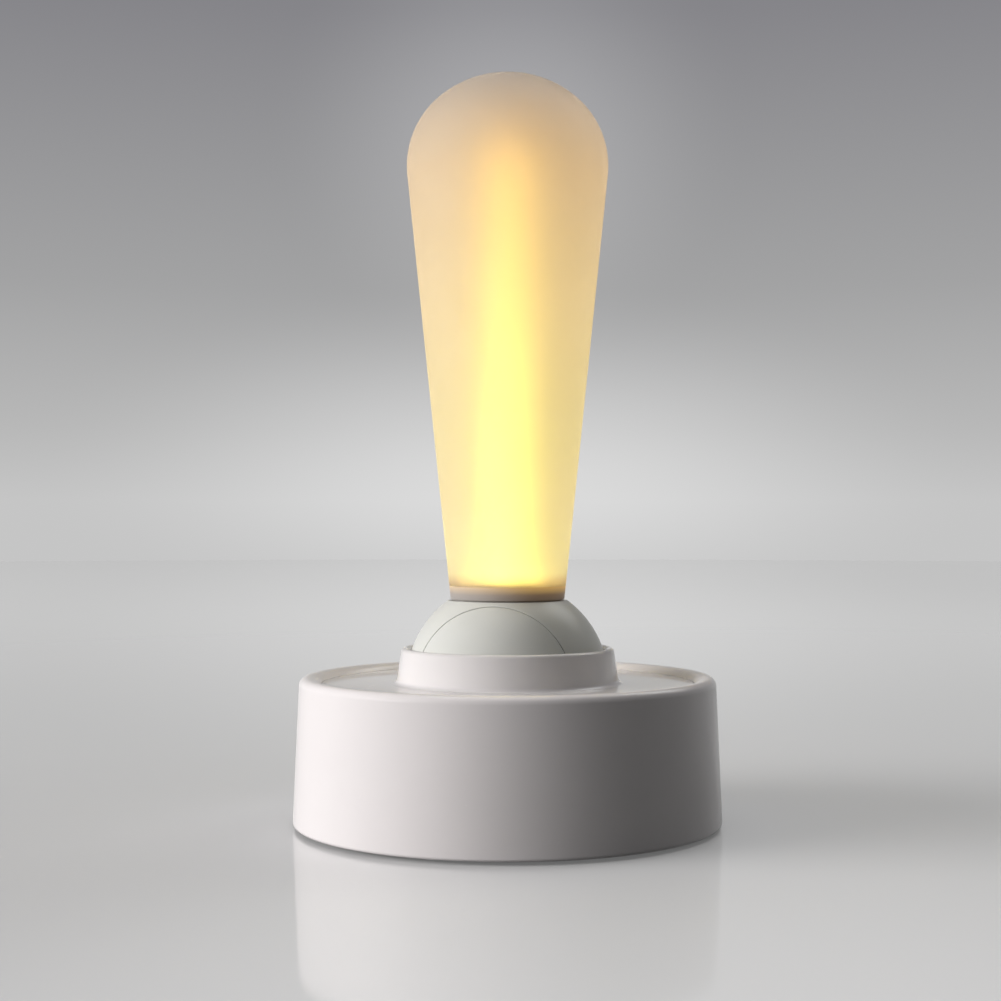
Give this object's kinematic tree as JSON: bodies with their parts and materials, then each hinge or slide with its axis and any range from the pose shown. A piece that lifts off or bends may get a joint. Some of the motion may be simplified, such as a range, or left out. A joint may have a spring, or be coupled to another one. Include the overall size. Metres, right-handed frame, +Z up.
{
  "type": "night light",
  "caption": "Table night light: a frosted glowing wand on a ball that rocks left and right in a round drum base, working the switch inside.",
  "frame": {"origin": "on the table, under the middle of the drum base", "axes": "+Z up along the wand at rest, -Y to the front (the ball's round cap), +X to the right"},
  "size_m": [0.0828, 0.0828, 0.1457],
  "materials": {
    "drum_plastic": "glossy moulded plastic",
    "cover_plastic": "fine spark-eroded texture",
    "foot_rubber": "matt",
    "screw_steel": "zinc plated",
    "ballast_steel": "blackened",
    "pad_foam": "foam tape",
    "cell_foil": "laminated foil",
    "lead_sleeve": "soft sleeve",
    "board_green": "solder mask",
    "chip_black": "moulded epoxy",
    "inlet_steel": "drawn steel",
    "switch_black": "moulded",
    "can_steel": "tinned",
    "cradle_steel": "zinc plated",
    "axle_steel": "ground",
    "clip_steel": "blued spring steel",
    "washer_brass": "rolled",
    "hub_plastic": "moulded",
    "ball_plastic": "satin-gloss moulded plastic",
    "socket_plastic": "moulded",
    "lamp_board_white": "white solder mask",
    "lamp_phosphor": "phosphor resin",
    "guide_acrylic": "clear acrylic",
    "shade_silicone": "frosted, translucent, lit from inside"
  },
  "bodies": {
    "base": {"base_shell": "drum_plastic", "top_deck": "drum_plastic", "bottom_cover": "cover_plastic", "foot_ring": "foot_rubber", "cover_screws": "screw_steel", "ballast_ring": "ballast_steel", "cell_pad": "pad_foam", "battery_cell": "cell_foil", "cell_leads": "lead_sleeve", "main_board": "board_green", "charge_chip": "chip_black", "driver_chip": "chip_black", "power_inductor": "chip_black", "usb_socket": "inlet_steel", "switch_base": "switch_black", "switch_can": "can_steel", "cradle": "cradle_steel", "cradle_screws": "screw_steel", "pivot_axle": "axle_steel", "axle_clips": "clip_steel", "friction_washers": "washer_brass", "led_leads": "lead_sleeve"},
    "rocker": {"rocker_hub": "hub_plastic", "ball_band": "ball_plastic", "ball_front_cap": "ball_plastic", "ball_rear_cap": "ball_plastic", "wand_socket": "socket_plastic", "socket_screws": "screw_steel", "led_board": "lamp_board_white", "led_chips": "lamp_phosphor", "light_guide": "guide_acrylic", "shade": "shade_silicone"},
    "knob": {"switch_knob": "switch_black"}
  },
  "joints": [
    {"name": "rocker_swing", "type": "hinge", "parent": "base", "child": "rocker", "pos_m": [0, 0, 0.02745], "axis": [0, 1, 0], "range_deg": [-15, 15], "deforming": ["led_leads"]},
    {"name": "knob_slide", "type": "slide", "parent": "base", "child": "knob", "axis": [-1, 0, 0], "range_m": [-0.0024, 0.0024]}
  ],
  "couplings": [
    {"joint": "knob_slide", "follows": "rocker_swing", "m_per_rad": 0.009}
  ]
}
